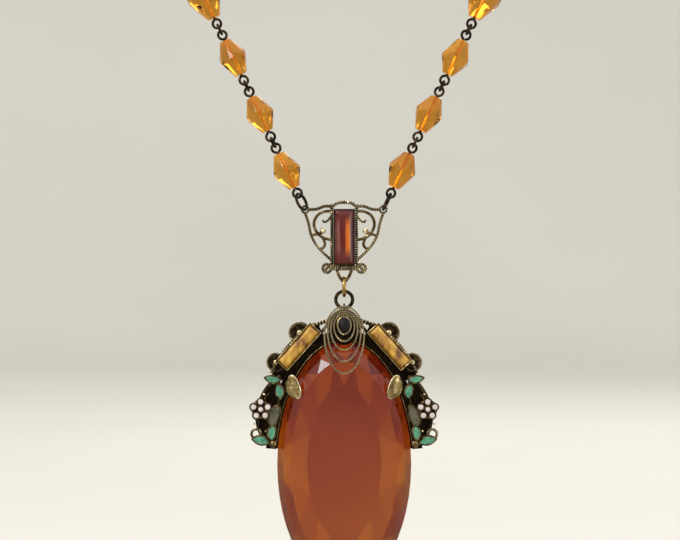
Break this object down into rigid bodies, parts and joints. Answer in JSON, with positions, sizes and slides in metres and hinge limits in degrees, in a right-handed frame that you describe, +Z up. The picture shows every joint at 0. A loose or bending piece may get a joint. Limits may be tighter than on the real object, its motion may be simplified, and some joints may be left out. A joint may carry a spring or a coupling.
{
  "type": "pendant necklace",
  "caption": "Beaded necklace with a filigree connector and a long oval glass stone hanging in an enamelled cap frame, closed by a spring ring clasp.",
  "frame": {"origin": "middle of the spring ring clasp at the nape of the neck, where the worn necklace is held up", "axes": "+Z up as worn, -Y the front, towards which the pendant's stone faces, +X to the right when the front is looked at"},
  "size_m": [0.1168, 0.0908, 0.1973],
  "materials": {
    "amber_glass": "polished transparent amber glass with cut facets",
    "red_amber_glass": "polished deep amber red glass with cut facets",
    "yellow_glass": "foil-backed golden glass, a little worn",
    "dark_red_glass": "polished dark garnet red glass",
    "black_glass": "polished black glass",
    "dark_brass": "brass with a dark brown-black patina",
    "antique_brass": "brass with dark patina in the hollows and rubbed highlights",
    "bright_brass": "lightly tarnished brass",
    "white_enamel": "glossy off-white enamel dots in dark brass cells",
    "green_enamel": "glossy green enamel leaves on dark brass",
    "spring_steel": "fine steel wire"
  },
  "bodies": {
    "neck_chain": {"back_strand_left": "amber_glass", "back_strand_right": "amber_glass", "spring_ring_case": "bright_brass", "spring_ring_spring": "spring_steel", "clasp_end_ring": "bright_brass", "clasp_tag": "bright_brass", "link_ring_left_5": "dark_brass", "link_ring_right_5": "dark_brass"},
    "clasp_trigger": {"spring_ring_trigger": "bright_brass"},
    "pin_left_5": {"eye_pin_left_5": "dark_brass", "link_ring_left_4": "dark_brass"},
    "bead_left_5": {"bead_left_5": "amber_glass"},
    "pin_left_4": {"eye_pin_left_4": "dark_brass", "link_ring_left_3": "dark_brass"},
    "bead_left_4": {"bead_left_4": "amber_glass"},
    "pin_left_3": {"eye_pin_left_3": "dark_brass", "link_ring_left_2": "dark_brass"},
    "bead_left_3": {"bead_left_3": "amber_glass"},
    "pin_left_2": {"eye_pin_left_2": "dark_brass", "link_ring_left_1": "dark_brass"},
    "bead_left_2": {"bead_left_2": "amber_glass"},
    "pin_left_1": {"eye_pin_left_1": "dark_brass"},
    "bead_left_1": {"bead_left_1": "amber_glass"},
    "corner_link_left": {"corner_ring_left": "antique_brass"},
    "pin_right_5": {"eye_pin_right_5": "dark_brass", "link_ring_right_4": "dark_brass"},
    "bead_right_5": {"bead_right_5": "amber_glass"},
    "pin_right_4": {"eye_pin_right_4": "dark_brass", "link_ring_right_3": "dark_brass"},
    "bead_right_4": {"bead_right_4": "amber_glass"},
    "pin_right_3": {"eye_pin_right_3": "dark_brass", "link_ring_right_2": "dark_brass"},
    "bead_right_3": {"bead_right_3": "amber_glass"},
    "pin_right_2": {"eye_pin_right_2": "dark_brass", "link_ring_right_1": "dark_brass"},
    "bead_right_2": {"bead_right_2": "amber_glass"},
    "pin_right_1": {"eye_pin_right_1": "dark_brass"},
    "bead_right_1": {"bead_right_1": "amber_glass"},
    "corner_link_right": {"corner_ring_right": "antique_brass"},
    "connector": {"connector_frame": "antique_brass", "connector_setting": "dark_brass", "connector_stone": "dark_red_glass"},
    "jump_link": {"jump_ring": "bright_brass"},
    "bail_link": {"bail_ring": "dark_brass"},
    "pendant": {"pendant_stone": "red_amber_glass", "cap_frame": "dark_brass", "filigree_medallion": "antique_brass", "medallion_stone": "black_glass", "baguette_setting_left": "dark_brass", "baguette_setting_right": "dark_brass", "baguette_stone_left": "yellow_glass", "baguette_stone_right": "yellow_glass", "stone_claw_left": "antique_brass", "stone_claw_right": "antique_brass", "flower_left": "white_enamel", "flower_right": "white_enamel", "sprig_left": "green_enamel", "sprig_right": "green_enamel"}
  },
  "joints": [
    {"name": "bail_ring_swing", "type": "hinge", "parent": "jump_link", "child": "bail_link", "pos_m": [0, -0.083, -0.12355], "axis": [0, 1, 0], "range_deg": [-25, 25]},
    {"name": "clasp_trigger_slide", "type": "hinge", "parent": "neck_chain", "child": "clasp_trigger", "pos_m": [-0.00105, 0, 0], "axis": [0, -1, 0], "range_deg": [0, 50], "stiffness_Nm_per_rad": 0.002, "springref_deg": -20.05, "deforming": ["spring_ring_spring"]},
    {"name": "connector_swing", "type": "hinge", "parent": "corner_link_left", "child": "connector", "pos_m": [-0.0093, -0.083, -0.103], "axis": [-1, 0, 0], "range_deg": [-15, 15]},
    {"name": "jump_ring_swing", "type": "hinge", "parent": "connector", "child": "jump_link", "pos_m": [0, -0.083, -0.1202], "axis": [1, 0, 0], "range_deg": [-25, 25]},
    {"name": "pendant_swing", "type": "hinge", "parent": "bail_link", "child": "pendant", "pos_m": [0, -0.083, -0.12647], "axis": [-1, 0, 0], "range_deg": [-20, 20]},
    {"name": "row0_corner_left", "type": "hinge", "parent": "pin_left_1", "child": "corner_link_left", "pos_m": [-0.01088, -0.083, -0.09968], "axis": [1, 0, 0], "range_deg": [-15, 15]},
    {"name": "row0_corner_right", "type": "hinge", "parent": "pin_right_1", "child": "corner_link_right", "pos_m": [0.01088, -0.083, -0.09968], "axis": [1, 0, 0], "range_deg": [-15, 15]},
    {"name": "row1_pin_left", "type": "hinge", "parent": "pin_left_2", "child": "pin_left_1", "pos_m": [-0.01654, -0.083, -0.08776], "axis": [-1, 0, 0], "range_deg": [-20, 20]},
    {"name": "row1_pin_right", "type": "hinge", "parent": "pin_right_2", "child": "pin_right_1", "pos_m": [0.01654, -0.083, -0.08776], "axis": [-1, 0, 0], "range_deg": [-20, 20]},
    {"name": "row2_pin_left", "type": "hinge", "parent": "pin_left_3", "child": "pin_left_2", "pos_m": [-0.02293, -0.083, -0.0743], "axis": [1, 0, 0], "range_deg": [-20, 20]},
    {"name": "row2_pin_right", "type": "hinge", "parent": "pin_right_3", "child": "pin_right_2", "pos_m": [0.02293, -0.083, -0.0743], "axis": [1, 0, 0], "range_deg": [-20, 20]},
    {"name": "row3_pin_left", "type": "hinge", "parent": "pin_left_4", "child": "pin_left_3", "pos_m": [-0.02932, -0.083, -0.06084], "axis": [-1, 0, 0], "range_deg": [-20, 20]},
    {"name": "row3_pin_right", "type": "hinge", "parent": "pin_right_4", "child": "pin_right_3", "pos_m": [0.02932, -0.083, -0.06084], "axis": [-1, 0, 0], "range_deg": [-20, 20]},
    {"name": "row4_pin_left", "type": "hinge", "parent": "pin_left_5", "child": "pin_left_4", "pos_m": [-0.03678, -0.083, -0.04512], "axis": [1, 0, 0], "range_deg": [-20, 20]},
    {"name": "row4_pin_right", "type": "hinge", "parent": "pin_right_5", "child": "pin_right_4", "pos_m": [0.03678, -0.083, -0.04512], "axis": [1, 0, 0], "range_deg": [-20, 20]},
    {"name": "row5_pin_left", "type": "hinge", "parent": "neck_chain", "child": "pin_left_5", "pos_m": [-0.04317, -0.083, -0.03166], "axis": [-1, 0, 0], "range_deg": [-20, 20]},
    {"name": "row5_pin_right", "type": "hinge", "parent": "neck_chain", "child": "pin_right_5", "pos_m": [0.04317, -0.083, -0.03166], "axis": [-1, 0, 0], "range_deg": [-20, 20]},
    {"name": "spin_bead_left_1", "type": "hinge", "parent": "pin_left_1", "child": "bead_left_1", "pos_m": [-0.0137, -0.083, -0.09374], "axis": [-0.4289, 0, 0.9033], "continuous": true},
    {"name": "spin_bead_left_2", "type": "hinge", "parent": "pin_left_2", "child": "bead_left_2", "pos_m": [-0.02009, -0.083, -0.08028], "axis": [-0.4289, 0, 0.9033], "continuous": true},
    {"name": "spin_bead_left_3", "type": "hinge", "parent": "pin_left_3", "child": "bead_left_3", "pos_m": [-0.02648, -0.083, -0.06682], "axis": [-0.4289, 0, 0.9033], "continuous": true},
    {"name": "spin_bead_left_4", "type": "hinge", "parent": "pin_left_4", "child": "bead_left_4", "pos_m": [-0.03341, -0.083, -0.05223], "axis": [-0.4289, 0, 0.9033], "continuous": true},
    {"name": "spin_bead_left_5", "type": "hinge", "parent": "pin_left_5", "child": "bead_left_5", "pos_m": [-0.04033, -0.083, -0.03764], "axis": [-0.4289, 0, 0.9033], "continuous": true},
    {"name": "spin_bead_right_1", "type": "hinge", "parent": "pin_right_1", "child": "bead_right_1", "pos_m": [0.0137, -0.083, -0.09374], "axis": [0.4289, 0, 0.9033], "continuous": true},
    {"name": "spin_bead_right_2", "type": "hinge", "parent": "pin_right_2", "child": "bead_right_2", "pos_m": [0.02009, -0.083, -0.08028], "axis": [0.4289, 0, 0.9033], "continuous": true},
    {"name": "spin_bead_right_3", "type": "hinge", "parent": "pin_right_3", "child": "bead_right_3", "pos_m": [0.02648, -0.083, -0.06682], "axis": [0.4289, 0, 0.9033], "continuous": true},
    {"name": "spin_bead_right_4", "type": "hinge", "parent": "pin_right_4", "child": "bead_right_4", "pos_m": [0.03341, -0.083, -0.05223], "axis": [0.4289, 0, 0.9033], "continuous": true},
    {"name": "spin_bead_right_5", "type": "hinge", "parent": "pin_right_5", "child": "bead_right_5", "pos_m": [0.04033, -0.083, -0.03764], "axis": [0.4289, 0, 0.9033], "continuous": true}
  ],
  "couplings": [
    {"joint": "row0_corner_right", "follows": "row0_corner_left", "ratio": 1},
    {"joint": "row1_pin_right", "follows": "row1_pin_left", "ratio": 1},
    {"joint": "row2_pin_right", "follows": "row2_pin_left", "ratio": 1},
    {"joint": "row3_pin_right", "follows": "row3_pin_left", "ratio": 1},
    {"joint": "row4_pin_right", "follows": "row4_pin_left", "ratio": 1},
    {"joint": "row5_pin_right", "follows": "row5_pin_left", "ratio": 1}
  ]
}
